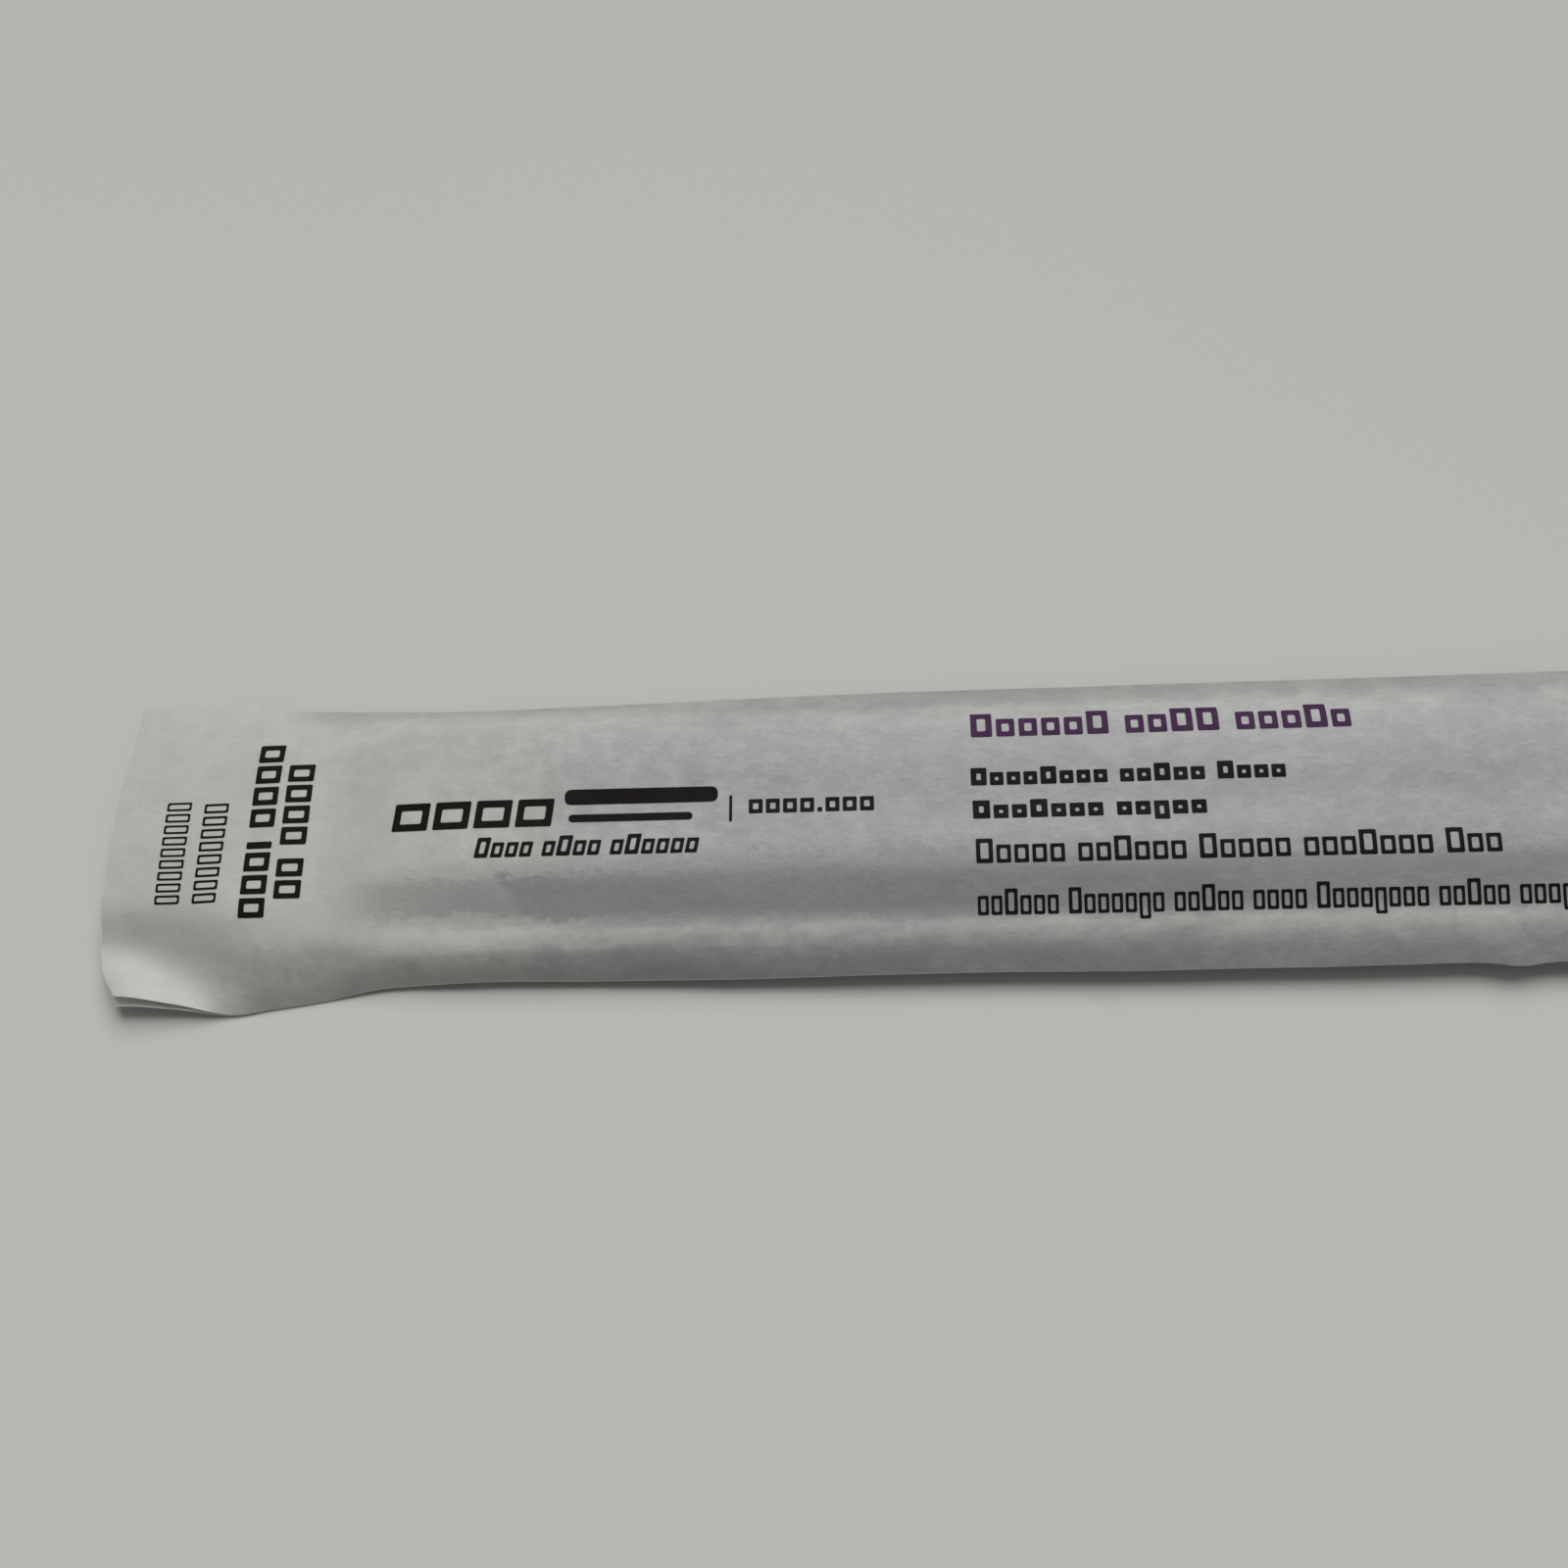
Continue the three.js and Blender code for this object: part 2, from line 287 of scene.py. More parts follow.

# How pale the paper is drawn, as painted light: light let through the thin paper where the
# tab's leaves stand loose, less at the sides of the peel seal, and painted highlights along
# both beads and along the curled rim.
NEAR_SIDE_HOLD = 0.55
NEAR_SIDE_RUN = (13.5, 18)
FAR_SIDE_HOLD = 0.25
FAR_SIDE_RUN = (6, 15)
SIDES_RUN = (-6, 5)
PAINTED_LIGHT_FADE = 40
NEAR_PALE = 0.55
NEAR_PALE_BEFORE = 1.4
NEAR_PALE_REACH = 1.3
FAR_PALE = 0.36
FAR_PALE_PAST = 1
FAR_PALE_REACH = 2
CURL_PALE = 0.28
CURL_PALE_RUN = (16.5, 20)
# The darker band over the far side seal, partly painted shade, begins this far past the seal's
# inner line, towards the far edge.
FAR_BAND_INSET = 2


def smoothstep(value, low, high):
    """0 below low, 1 above high and an eased rise between them."""
    share = np.clip((value - low) / (high - low), 0, 1)
    return share * share * (3 - 2 * share)


def rise(value, place, run):
    """An eased rise from 0 to 1 over a run, given from and to, as seen from a place."""
    return smoothstep(value, place + run[0], place + run[1])


def hump(distance, reach):
    """1 at no distance, and falling away on both sides over a length of about reach."""
    return np.exp(-((distance / reach) ** 2))


def at_near_edge(column):
    """1 at the near edge, falling to 0 at the middle of the near seal."""
    return np.clip(1 - column, 0, 1)


def along(x, stations, values):
    """A smooth curve through each station's values, which never overshoots them."""
    slope = np.diff(values, axis=0) / np.diff(stations)[:, None]
    before, after = slope[:-1], slope[1:]
    total = np.where(before * after > 0, before + after, 1)
    inner = np.where(before * after > 0, 2 * before * after / total, 0)
    flat = np.zeros_like(slope[:1])
    tangent = np.concatenate([flat, inner, flat])
    k = np.clip(np.searchsorted(stations, x, side="right") - 1, 0, len(stations) - 2)
    span = (stations[k + 1] - stations[k])[:, None]
    share = np.clip((x - stations[k])[:, None] / span, 0, 1)
    eased = share * share * (3 - 2 * share)
    bow = share * (1 - share) * ((1 - share) * tangent[k] - share * tangent[k + 1]) * span
    return values[k] + (values[k + 1] - values[k]) * eased + bow


def bend(y, soft):
    """A ramp that starts at 0, rounded over a length of about soft."""
    return soft * np.logaddexp(0, y / soft)


def height_on(points, soft, y):
    """Heights at y of the sections' polylines, with their inner corners rounded."""
    slopes = np.diff(points[:, :, 1], axis=1) / np.diff(points[:, :, 0], axis=1)
    start = points[:, 0, 0][:, None]
    height = points[:, 0, 1][:, None] + slopes[:, 0][:, None] * (y - start)
    for line in range(1, LINES - 1):
        turn = (slopes[:, line] - slopes[:, line - 1])[:, None]
        corner, round_off = points[:, line, 0][:, None], soft[:, line][:, None]
        height += turn * (bend(y - corner, round_off) - bend(start - corner, round_off))
    return height


def ripple(x, y, reach, long, wide, layer):
    """Smooth noise that reaches up to reach either way, stretched along the pouch."""
    spots = zip((x / long).flat, (y / wide).flat)
    values = [noise.noise((a, b, layer)) for a, b in spots]
    return reach * np.array(values).reshape(x.shape)


def ripples(x, y, waves):
    """The sum of a few ripples."""
    return sum(ripple(x, y, *wave) for wave in waves)


class Webs:
    """The two webs as surfaces over rows (x) and columns (places across, in lines)."""

    def __init__(self, sizes):
        def mm(name):
            return getattr(sizes, name) / MM

        self.length = (CAD_HIGH.x - CAD_LOW.x) / MM
        self.flat = mm("web_width") / 2
        self.half = self.flat - mm("draw_in") / 2
        self.near_seal = -self.half + mm("near_seal_run")
        self.far_seal = self.half - mm("far_seal_run")
        self.paper, self.film = mm("paper"), mm("film")
        self.tab = mm("tab_length")
        self.cavity_start = self.tab + mm("peel_seal")
        self.handle_end = self.cavity_start + mm("handle_clearance")
        self.cavity_end = self.length - mm("end_seal")
        self.head_end = self.cavity_end - mm("head_clearance")
        self.head_start = self.head_end - mm("head_length")
        self.handle_edge = HANDLE_AXIS + mm("handle_width") / 2
        self.head_edge = HANDLE_AXIS + mm("head_width") / 2
        self.origin = Vector((CAD_LOW.x, CAD_LOW.y + (self.flat + NEAR_REACH) * MM, CAD_LOW.z))
        sections = self.sections()
        self.stations = np.array([x for x, _, _ in sections], float)
        self.soft = np.array([soft for _, soft, _ in sections], float)
        self.points = np.array([points for _, _, points in sections], float)

    def body_points(self, height, crest, dip):
        """Section over the handle or the blade head."""
        middle = -self.half + NEAR_SEAL_MIDDLE * (self.near_seal + self.half)
        return [
            (-self.half, NEAR_LIFT),
            (middle, NEAR_SEAL_HEIGHT - NEAR_SEAL_SAG),
            (self.near_seal, NEAR_SEAL_HEIGHT),
            (crest, height),
            (crest + SLACK_RUN, height - dip),
            (self.far_seal - SWELL_RUN, height - SWELL_DIP),
            (self.far_seal, height - SEAL_DROP),
            (self.half, FAR_LIFT),
        ]

    def sections(self):
        """The sections that shape the paper's upper face, from the tab to the far end."""
        flat, half, arch = self.flat, self.half, TAB_ARCH
        near, far, crest = self.near_seal, self.far_seal, self.handle_edge
        handle = self.body_points(HANDLE_HEIGHT, crest, SLACK_DIP)
        head = self.body_points(HEAD_HEIGHT, self.head_edge, SLACK_DIP / 2)
        tip = [(-flat + 1.9, 4.4), (-flat + 6.2, 4.1), (-flat + 10, 2.9),
               (-flat + 14.8, arch - 0.4), (1, arch - 0.4), (8, arch - 0.7),
               (flat - 12, arch - 1.4), (flat - 0.4, 2.4)]
        mid_tab = [(-flat + 0.9, 3), (-flat + 4.2, 2.7), (-flat + 7.4, 2),
                   (-flat + 14.6, arch - 0.4), (1, arch - 0.4), (8, arch - 0.6),
                   (flat - 12, arch - 1.1), (flat - 0.9, 2.7)]
        root = [(-flat - NEAR_REACH, 0.9), (-flat + 2, 1.2), (-flat + 5, 2.7),
                (-flat + 13, arch + 0.8), (1, arch), (9, arch - 0.2),
                (flat - 11, arch - 0.6), (flat - 1.4, 3)]
        mid_seal = [(-flat + 0.4, 0.8), (-flat + 3.4, 2.8), (-flat + 7.6, 5.3), (-10, 6.6),
                    (1.8, 5.9), (9.2, 5.9), (flat - 10.5, 5.3), (flat - 1.9, 2.6)]
        seal_end = [(-flat + 1.3, 0.8), (-flat + 4.3, 2.9), (-flat + 8.3, 5.5), (-8, 6.5),
                    (2.5, 5.9), (9.5, 6), (flat - 10, 5.4), (flat - 2.3, 2.2)]
        opening = [(-half - 0.1, 2.2), (-half + 4.2, 5.3), (near, 5.5), (crest, 7.8),
                   (crest + SLACK_RUN, 7.3), (far - SWELL_RUN, 7.8), (far, 7.1),
                   (half + 0.3, 2.2)]
        closing = [(-flat + 1.2, 0.7), (-flat + 5, 1.9), (-flat + 9, 2.9), (-6, 4.2),
                   (2, 4.2), (9.5, 4), (flat - 10, 3.1), (flat - 1.2, 0.7)]
        end = [(-flat + 0.5, 0.4), (-flat + 4.5, 1), (-flat + 8.5, 1.6), (-6, 2.6),
               (2, 2.7), (9.5, 2.4), (flat - 10, 1.7), (flat - 0.5, 0.4)]
        peel_seal = self.cavity_start - self.tab
        clearance = self.handle_end - self.cavity_start
        head_length = self.head_end - self.head_start
        return [
            (0, SOFT_TAB, tip),
            (self.tab / 2, SOFT_TAB, mid_tab),
            (self.tab, SOFT_TAB, root),
            (self.tab + SEAL_SECTION * peel_seal, SOFT_LEAF, mid_seal),
            (self.cavity_start, SOFT_LEAF, seal_end),
            (self.cavity_start + OPENING_SECTION * clearance, SOFT_BODY, opening),
            (self.handle_end, SOFT_BODY, handle),
            (self.head_start, SOFT_BODY, handle),
            (self.head_start + HEAD_SECTION * head_length, SOFT_BODY, head),
            (self.head_end, SOFT_BODY, head),
            (self.cavity_end, SOFT_LEAF, closing),
            (self.length, SOFT_LEAF, end),
        ]

    def leaf_gap(self, x, column):
        """Gap between the two leaves of the tab, widest at the flared near corner."""
        to_tip = 1 - np.clip(x / self.tab, 0, 1)
        to_corner = np.clip(1 - column / CREST, 0, 1)
        return ROOT_GAP + (LEAF_GAP + (CORNER_GAP - LEAF_GAP) * to_corner - ROOT_GAP) * to_tip

    def on_webs(self, x, column, depth, cut_back):
        """Points on the webs, at a depth below the paper's upper face."""
        rows = x[:, 0]
        values = self.points.reshape(len(self.stations), -1)
        points = along(rows, self.stations, values).reshape(len(rows), LINES, 2)
        soft = along(rows, self.stations, self.soft)
        line = np.clip(column.astype(int), 0, LINES - 2)[0]
        low, high = points[:, line, 0], points[:, line + 1, 0]
        y = low + (high - low) * (column - line)
        far_share = np.clip((column - FAR_SWELL) / (FAR_EDGE - FAR_SWELL), 0, 1)
        start = cut_back + CORNER_RETREAT * np.clip(1 - column / NEAR_SEAM, 0, 1) ** 2
        start = start + FAR_RETREAT * far_share
        trimmed = np.where(x < self.tab, start + (self.tab - start) * x / self.tab, x)
        height = height_on(points, soft, y)
        seams = points[:, NEAR_SEAM, 0][:, None], points[:, FAR_SEAM, 0][:, None]
        height += self.relief(trimmed, y, seams) + self.rim_lift(trimmed, column)
        y = y + self.edge_wander(trimmed, column)
        return np.stack([trimmed, y, height - depth], axis=-1)

    def filled(self, x):
        """1 along the filled pouch, 0 along both end seals, eased between them."""
        opened = smoothstep(x, self.cavity_start, self.handle_end)
        return opened * (1 - smoothstep(x, self.head_end, self.cavity_end))

    def relief(self, x, y, seams):
        """Soft unevenness of the webs: long swells, cockle, rippled seals, beads and crease."""
        filled = self.filled(x)
        to_edge = np.clip(1 - (self.half - np.abs(y)) / SEAL_RIPPLE_RUN, 0, 1)
        swell = ripple(x, y, *SWELL) * filled * (1 - to_edge)
        cockle = ripple(x, y, *COCKLE)
        seal = ripple(x, y, *SEAL_RIPPLE) * to_edge * filled
        near, far = seams
        begun = smoothstep(x, self.cavity_start - BEAD_LEAD_IN, self.handle_end + BEAD_LEAD_OUT)
        begun = begun * (1 - smoothstep(x, self.head_end, self.cavity_end))
        past_bead = y - near + NEAR_BEAD_BEFORE + NEAR_BEAD_STRAY * self.bead_stray(x, y)
        bead = NEAR_BEAD_HEIGHT * hump(past_bead, NEAR_BEAD_REACH)
        bead += FAR_BEAD_HEIGHT * hump(y - far - FAR_BEAD_PAST, FAR_BEAD_REACH)
        crease = -CREASE_DEPTH * hump(self.past_wrinkle(x, y), CREASE_REACH)
        crease = crease * rise(y, near, CREASE_NEAR_RUN)
        crease = crease * (1 - rise(y, self.handle_edge, CREASE_CREST_RUN))
        return swell + cockle + seal + bead * begun + crease

    def rim_lift(self, x, column):
        """How much higher the near edge's rim lies than its section says."""
        near = at_near_edge(column)
        sag = -RIM_SAG + RIM_RISE * rise(x, self.handle_end, RIM_RISE_RUN)
        curl = -CURL_DEPTH * self.curled(x)
        lying = LYING_DEPTH * rise(x, self.tab, LYING_TAB_RUN)
        lying = lying * (1 - smoothstep(x, self.cavity_start, self.handle_end - LYING_STOP))
        dip = DIP_DEPTH * hump(x - self.cavity_start - DIP_PAST, DIP_REACH)
        return near * (sag + curl * near ** 2) * self.filled(x) - (lying + dip) * near ** 2

    def curled(self, x):
        """1 where the near edge's rim curls down most, past the handle's end."""
        return hump(x - self.handle_end - CURL_PAST, CURL_REACH)

    def edge_wander(self, x, column):
        """How far both side edges stray from their lines, seen from above."""
        level = np.zeros_like(x)
        near = ripple(x, level, *NEAR_EDGE_RIPPLE)
        near = near - PINCH_DEPTH * hump(x - PINCH_PLACE, PINCH_REACH)
        inward = smoothstep(x, self.cavity_start, self.handle_end - NEAR_DRAW_STOP)
        tuck = hump(x - self.handle_end - TUCK_PAST, TUCK_REACH)
        near = near + (NEAR_DRAW_IN * inward + TUCK_DEPTH * tuck)
        outward = smoothstep(x, self.handle_end, self.handle_end + FAR_DRAW_RUN)
        far = ripple(x, level, *FAR_EDGE_RIPPLE) + (FAR_DRAW_OUT * outward - FAR_DRAW_IN)
        return at_near_edge(column) * near + np.clip(column - FAR_SEAM, 0, 1) * far

    def paper_top(self, x, column):
        """Upper face of the paper web."""
        return self.on_webs(x, column, 0, PAPER_CUT_BACK)

    def film_under(self, x, column):
        """Lower face of the film web."""
        gap = np.where(x < self.tab, self.leaf_gap(x, column), 0)
        sealed = self.on_webs(x, column, self.paper + gap + self.film, 0)
        sealed[..., 1] -= FILM_MARGIN * at_near_edge(column) * np.clip(1 - x / self.tab, 0, 1)
        opened = np.where((column >= NEAR_SEAM) & (column < FAR_SEAM), self.filled(x), 0)
        return sealed + (self.film_hanging(x, column) - sealed) * opened[..., None]

    def film_hanging(self, x, column):
        """Film under the open pouch: from both seals down to the table, and along it."""
        near, far = [
            self.on_webs(x, np.full_like(column, seam), self.paper + self.film, 0)
            for seam in (NEAR_SEAM, FAR_SEAM)]
        on_table = [self.handle_edge - 2 * (self.handle_edge - HANDLE_AXIS), self.handle_edge,
                    self.handle_edge + FILM_SLACK]
        lines = [near]
        for y in on_table:
            stray = ripple(x, np.full_like(x, y), *FILM_RIPPLE)
            lines.append(np.stack([x, y + stray, np.zeros_like(x)], -1))
        lines.append(far)
        line = np.clip(column.astype(int) - NEAR_SEAM, 0, FAR_SEAM - NEAR_SEAM - 1)
        share = (column - NEAR_SEAM - line)[..., None]
        low = np.choose(line[..., None], lines[:-1])
        high = np.choose(line[..., None], lines[1:])
        hung = low + (high - low) * share
        hung[..., 2:] = low[..., 2:] * (1 - share) ** 2 + high[..., 2:] * share ** 2
        return hung

    def past_wrinkle(self, x, y):
        """How far a place lies past the slanting wrinkle at the handle's end."""
        straight = (x - self.handle_end) + WRINKLE_SLANT * (y + WRINKLE_CROSSING)
        return straight + ripples(x, y, WRINKLE_RIPPLES)

    def bead_stray(self, x, y):
        """How far the bead along the near seal strays from its line."""
        return ripples(x, y, BEAD_RIPPLES)

    def contact(self, x, y):
        """1 where the paper can lie on the handle, falling to 0 at its two sides."""
        shift = CONTACT_SHIFT * (1 - rise(x, self.handle_end, CONTACT_SHIFT_RUN))
        near = rise(y, self.near_seal + shift, CONTACT_NEAR_RUN)
        return near * (1 - rise(y, self.handle_edge, CONTACT_CREST_RUN))

    def pressure(self, x, y):
        """How hard the paper lies there, from 0 to 1, which sets how dark the patch along the
        handle is drawn: partly grey paper on plastic, partly painted shade.
        """
        over = OPENING_PRESSURE * rise(x, self.cavity_start, OPENING_RUN)
        slack = smoothstep(x, self.cavity_start + SLACK_START, self.handle_end)
        over = over + SLACK_PRESSURE * slack
        over = over + HANDLE_PRESSURE * rise(self.past_wrinkle(x, y), 0, HANDLE_RUN)
        return over * (1 - rise(x, self.head_end, HEAD_RUN))

    def painted_light(self, x, y):
        """Painted light: 1 in the tab's unsealed leaves, where light comes through the thin paper,
        less at the peel seal's sides, and some as painted highlights along both beads and on the
        curled near slope.
        """
        sides = NEAR_SIDE_HOLD * rise(-y, 0, NEAR_SIDE_RUN)
        sides = sides + FAR_SIDE_HOLD * rise(y, 0, FAR_SIDE_RUN)
        sides = sides * rise(x, self.tab, SIDES_RUN)
        # Painted light let through the thin paper of the tab's leaves, fading past the handle's
        # end.
        leaves = 1 - smoothstep(x, self.cavity_start, self.handle_end + PAINTED_LIGHT_FADE)
        leaves = (1 - sides) * leaves
        opened = smoothstep(x, self.cavity_start, self.handle_end)
        # Painted highlights on the ridges along both beads.
        past_bead = y - self.near_seal + NEAR_PALE_BEFORE + self.bead_stray(x, y)
        near = NEAR_PALE * hump(past_bead, NEAR_PALE_REACH) * opened
        far = FAR_PALE * hump(y - self.far_seal - FAR_PALE_PAST, FAR_PALE_REACH) * opened
        # Painted light on the near slope where its rim curls down.
        curl = CURL_PALE * self.curled(x) * rise(-y, 0, CURL_PALE_RUN)
        return np.maximum(leaves, far) + near + curl

    def sealed(self, x, y):
        """1 over the far side seal, where the paper is bonded to the film and is drawn darker:
        partly the seal's own tone, partly painted shade on the far slope.
        """
        far = smoothstep(y, self.far_seal + FAR_BAND_INSET, self.half)
        return far * smoothstep(x, self.tab, self.cavity_start)

    def place(self, points):
        """Points of the pouch's own coordinates, in the frame and in metres."""
        return points * MM + np.array(self.origin)


def steps(stops, spacings):
    """Places from the first stop to the last, evenly spaced between neighbouring stops."""
    places = [stops[0]]
    for low, high, spacing in zip(stops, stops[1:], spacings):
        places += list(np.linspace(low, high, max(1, round((high - low) / spacing)) + 1)[1:])
    return np.array(places, float)


def steps_across(counts):
    """Columns over the whole web, with a count of steps between each line and the next."""
    places = [np.arange(count) / count + line for line, count in enumerate(counts)]
    return np.concatenate([*places, [FAR_EDGE]])


# ---------------------------- mesh helpers

# Edges that turn more than this, in radians, stay sharp.
SHARP_TURN = 0.6


def finish_mesh(bm, name, material):
    """Makes the bmesh an object that rides on the pouch, smooth but for its cut edges."""
    for edge in bm.edges:
        edge.smooth = edge.calc_face_angle(0) < SHARP_TURN
    mesh = bpy.data.meshes.new(name)
    bm.to_mesh(mesh)
    bm.free()
    mesh.polygons.foreach_set("use_smooth", [True] * len(mesh.polygons))
    mesh.materials.append(material)
    piece = bpy.data.objects.new(name, mesh)
    bpy.context.scene.collection.objects.link(piece)
    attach(piece, BODY)
    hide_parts(POUCH_NODE)
    return piece


def sheet_grid(rows, columns, surface):
    """A bmesh grid laid on a surface, with a UV map that runs along and across the web."""
    bm = bmesh.new()
    uv_map = bm.loops.layers.uv.new("Web")
    last_row, last_column = len(rows) - 1, len(columns) - 1
    bmesh.ops.create_grid(bm, x_segments=last_row, y_segments=last_column, size=1)
    bm.verts.index_update()
    places = np.array([v.co.xy for v in bm.verts])
    i = np.rint((places[:, 0] + 1) / 2 * last_row).astype(int)
    j = np.rint((places[:, 1] + 1) / 2 * last_column).astype(int)
    x, column = np.meshgrid(rows, columns, indexing="ij")
    points = surface(x, column)[i, j]
    for vertex, point in zip(bm.verts, points):
        vertex.co = point
    for face in bm.faces:
        for loop in face.loops:
            k = loop.vert.index
            loop[uv_map].uv = (i[k] / last_row, j[k] / last_column)
    bm.normal_update()
    return bm


# ---------------------------- materials

# Most values of a noise texture lie between these two, with 0.5 in the middle.
NOISE_MIDDLE = 0.5
NOISE_RANGE = (0.35, 0.65)
WIDE_NOISE_RANGE = (0.3, 0.7)

# The cloud group's values in each material: cloud scale, fibre scale and stretch.
PAPER_CLOUDS = (70, 1500, 0.5)
PAPER_PATCHES = (340, 3000, 0.85)
FILM_CLOUDS = (90, 1200, 0.35)
INK_CLOUDS = (400, 2500, 0.8)

# Mottle of the paper, as the tones that each texture ranges over.
CLOUD_TONES = (0.93, 1.07)
PATCH_TONES = (0.95, 1.05)
FIBRE_TONES = (0.96, 1.04)
GRAIN_TONES = (0.97, 1.03)
EVEN_WHERE_PAINTED_LIGHT = 0.75

# The darker patches along the handle, partly grey paper where it touches the handle and partly
# painted shade: how ragged their rims are, where they begin and end, and how much harder or
# softer each one is.
RAGGED_BY_CLOUDS = 1.4
RAGGED_BY_FIBRE = 1.3
TOUCH_START = (0, 0.06)
TOUCH_RANGE = (0.25, 0.75)
UNEVEN_RANGE = (-0.25, 0.25)
HARDER_TONES = (0.82, 1.15)
PAINTED_LIGHT_UNEVEN = 0.5
SEAL_SHADE_STRENGTH = 0.5

# Gloss, light let through and bumps. Depths and distances are in metres.
PAPER_ROUGHNESS = (0.44, 0.56)
PAPER_LIGHT_THROUGH = (0.5, 0.0003)
PAPER_FIBRE_BUMP = 0.2
PAPER_BUMP = (1.0, 0.00012)
FILM_DARKER = 0.88
FILM_ROUGHNESS = (0.24, 0.4)
FILM_LIGHT_THROUGH = (1, 0.0006)
FILM_BUMP = (0.3, 0.0002)
INK_WORN_RANGE = (0.5, 0.75)
INK_WORN_TONES = (0, 0.5)
INK_FADE = 0.85
INK_LIFT = 0.006
INK_ROUGHNESS = (0.52, 0.68)

# Painted light on the table top: a little lighter towards the near side and the peel end,
# in soft clouds.
FLOOR_CLOUDS = {"Scale": 3, "Detail": 3, "Roughness": 0.55}
FLOOR_CLOUD_REACH = 0.05
FLOOR_SLANT = 0.4
FLOOR_DRIFT = (0.275, -0.095)
FLOOR_DARKER = 0.915
FLOOR_LIGHTER = 1.04


def new_group(name, inputs, outputs):
    """A shader node group with its named sockets, and its input and output nodes."""
    tree = bpy.data.node_groups.new(name, "ShaderNodeTree")
    for label, kind, value in inputs:
        socket = tree.interface.new_socket(name=label, in_out="INPUT", socket_type=kind)
        socket.default_value = value
    for label, kind in outputs:
        tree.interface.new_socket(name=label, in_out="OUTPUT", socket_type=kind)
    return tree, tree.nodes.new("NodeGroupInput"), tree.nodes.new("NodeGroupOutput")


def add_node(tree, kind, values=(), **settings):
    """A node with its settings and the plain values of its inputs."""
    node = tree.nodes.new(kind)
    for name, value in settings.items():
        setattr(node, name, value)
    for name, value in dict(values).items():
        node.inputs[name].default_value = value
    return node


def feed(tree, socket, value):
    """Gives an input a link, a number or a scene-linear colour."""
    if isinstance(value, bpy.types.NodeSocket):
        tree.links.new(value, socket)
    elif isinstance(value, (int, float)):
        socket.default_value = value
    else:
        socket.default_value = (*value, 1)


def math_node(tree, operation, first, second):
    """A Math node whose two inputs are links or numbers."""
    node = add_node(tree, "ShaderNodeMath", operation=operation)
    feed(tree, node.inputs[0], first)
    feed(tree, node.inputs[1], second)
    return node.outputs[0]


def plus(tree, first, second):
    """A Math node that adds."""
    return math_node(tree, "ADD", first, second)


def minus(tree, first, second):
    """A Math node that subtracts."""
    return math_node(tree, "SUBTRACT", first, second)


def times(tree, first, second):
    """A Math node that multiplies."""
    return math_node(tree, "MULTIPLY", first, second)


def ranged(tree, value, low, high, to_low=0.0, to_high=1.0):
    """A Map Range node that eases from one end of its range to the other."""
    values = {"From Min": low, "From Max": high, "To Min": to_low, "To Max": to_high}
    node = add_node(tree, "ShaderNodeMapRange", values, interpolation_type="SMOOTHSTEP")
    tree.links.new(value, node.inputs["Value"])
    return node.outputs["Result"]


def cloud_group():
    """Cloudy mottle of a thin web, stretched along it, with its fine fibre."""
    name = "Web Clouds"
    if name in bpy.data.node_groups:
        return bpy.data.node_groups[name]
    inputs = [
        ("Vector", "NodeSocketVector", (0, 0, 0)),
        ("Cloud Scale", "NodeSocketFloat", 150),
        ("Fibre Scale", "NodeSocketFloat", 1400),
        ("Stretch", "NodeSocketFloat", 0.45),
    ]
    outputs = [("Clouds", "NodeSocketFloat"), ("Fibre", "NodeSocketFloat")]
    tree, source, result = new_group(name, inputs, outputs)
    squeeze = add_node(tree, "ShaderNodeCombineXYZ", {"Y": 1, "Z": 1})
    tree.links.new(source.outputs["Stretch"], squeeze.inputs["X"])
    stretched = add_node(tree, "ShaderNodeVectorMath", operation="MULTIPLY")
    tree.links.new(source.outputs["Vector"], stretched.inputs[0])
    tree.links.new(squeeze.outputs[0], stretched.inputs[1])
    for label, detail, scale in (("Clouds", 5, "Cloud Scale"), ("Fibre", 3, "Fibre Scale")):
        texture = add_node(tree, "ShaderNodeTexNoise", {"Detail": detail, "Roughness": 0.6})
        tree.links.new(stretched.outputs[0], texture.inputs["Vector"])
        tree.links.new(source.outputs[scale], texture.inputs["Scale"])
        tree.links.new(texture.outputs["Fac"], result.inputs[label])
    return tree


def place_clouds(tree, vector, cloud_scale, fibre_scale, stretch):
    """The cloud group in a material, with its own values."""
    values = {"Cloud Scale": cloud_scale, "Fibre Scale": fibre_scale, "Stretch": stretch}
    node = add_node(tree, "ShaderNodeGroup", values, node_tree=cloud_group())
    tree.links.new(vector, node.inputs["Vector"])
    return node.outputs["Clouds"], node.outputs["Fibre"]


def mix_value(tree, factor, first, second):
    """A Mix node for plain values. The factor and the first value are links."""
    node = add_node(tree, "ShaderNodeMix", data_type="FLOAT")
    tree.links.new(factor, node.inputs[0])
    tree.links.new(first, node.inputs[2])
    node.inputs[3].default_value = second
    return node.outputs[0]


def mix_colour(tree, factor, first, second, blend="MIX"):
    """A colour Mix node. Each colour is a link or scene-linear values."""
    node = add_node(tree, "ShaderNodeMix", data_type="RGBA", blend_type=blend)
    for number, value in ((0, factor), (6, first), (7, second)):
        feed(tree, node.inputs[number], value)
    return node.outputs[2]


def bump_node(tree, height, strength, distance):
    """A Bump node that feeds a shader's Normal."""
    node = add_node(tree, "ShaderNodeBump", {"Strength": strength, "Distance": distance})
    tree.links.new(height, node.inputs["Height"])
    return node.outputs["Normal"]


